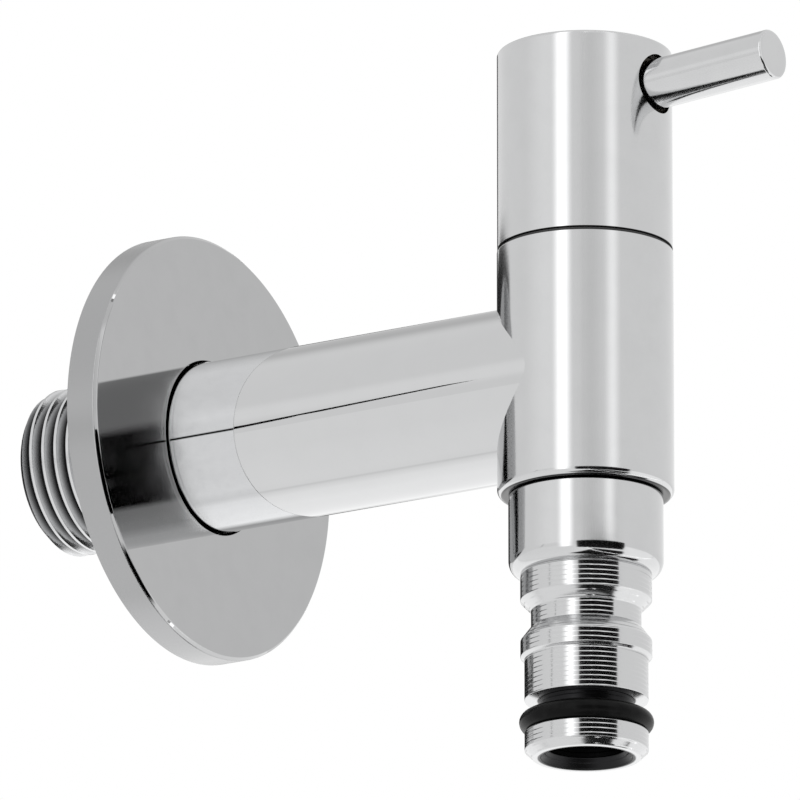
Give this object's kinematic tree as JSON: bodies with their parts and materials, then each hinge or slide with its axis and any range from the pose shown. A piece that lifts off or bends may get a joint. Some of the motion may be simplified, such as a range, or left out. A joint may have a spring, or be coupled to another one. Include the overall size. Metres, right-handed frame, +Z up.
{
  "type": "garden tap",
  "caption": "Slim wall-mounted chrome garden tap: quarter-turn cap with pin lever, threaded inlet, loose wall flange and quick-coupling hose nose.",
  "frame": {"origin": "on the inlet arm's axis, in the wall plane (back face of the wall flange)", "axes": "+Y along the inlet arm into the wall, +Z up the body towards the handle, X across; the tap stands out along -Y"},
  "size_m": [0.0534, 0.1047, 0.0896],
  "materials": {
    "chrome": "polished chrome plate on brass",
    "brass": "plain turned brass",
    "steel": "stainless steel",
    "rubber": "black moulded rubber",
    "fibre": "pressed fibre washer",
    "acetal": "black acetal",
    "ceramic": "lapped alumina ceramic"
  },
  "bodies": {
    "tap": {"inlet_arm": "chrome", "tap_body": "chrome", "outlet_bush": "chrome", "hose_nose": "chrome", "cartridge_housing": "brass", "cartridge_o_ring": "rubber", "seat_seal": "rubber", "nose_o_ring": "rubber", "outlet_washer": "fibre", "nose_washer": "fibre", "slide_washer": "acetal", "guide_ring": "acetal", "fixed_disc": "ceramic"},
    "handle": {"handle_cap": "chrome", "handle_hub": "brass", "lever_rod": "chrome", "lever_stud": "steel", "cartridge_spindle": "brass", "spindle_o_rings": "rubber", "stop_ring": "brass", "spindle_clip": "steel", "moving_disc": "ceramic"},
    "flange": {"wall_flange": "chrome", "flange_grip_ring": "rubber", "wall_gasket": "rubber"}
  },
  "joints": [
    {"name": "handle_turn", "type": "hinge", "parent": "tap", "child": "handle", "pos_m": [0, -0.0586, 0.0358], "axis": [0, 0, 1], "range_deg": [0, 90]},
    {"name": "flange_slide", "type": "slide", "parent": "tap", "child": "flange", "axis": [0, -1, 0], "range_m": [0, 0.043]}
  ]
}
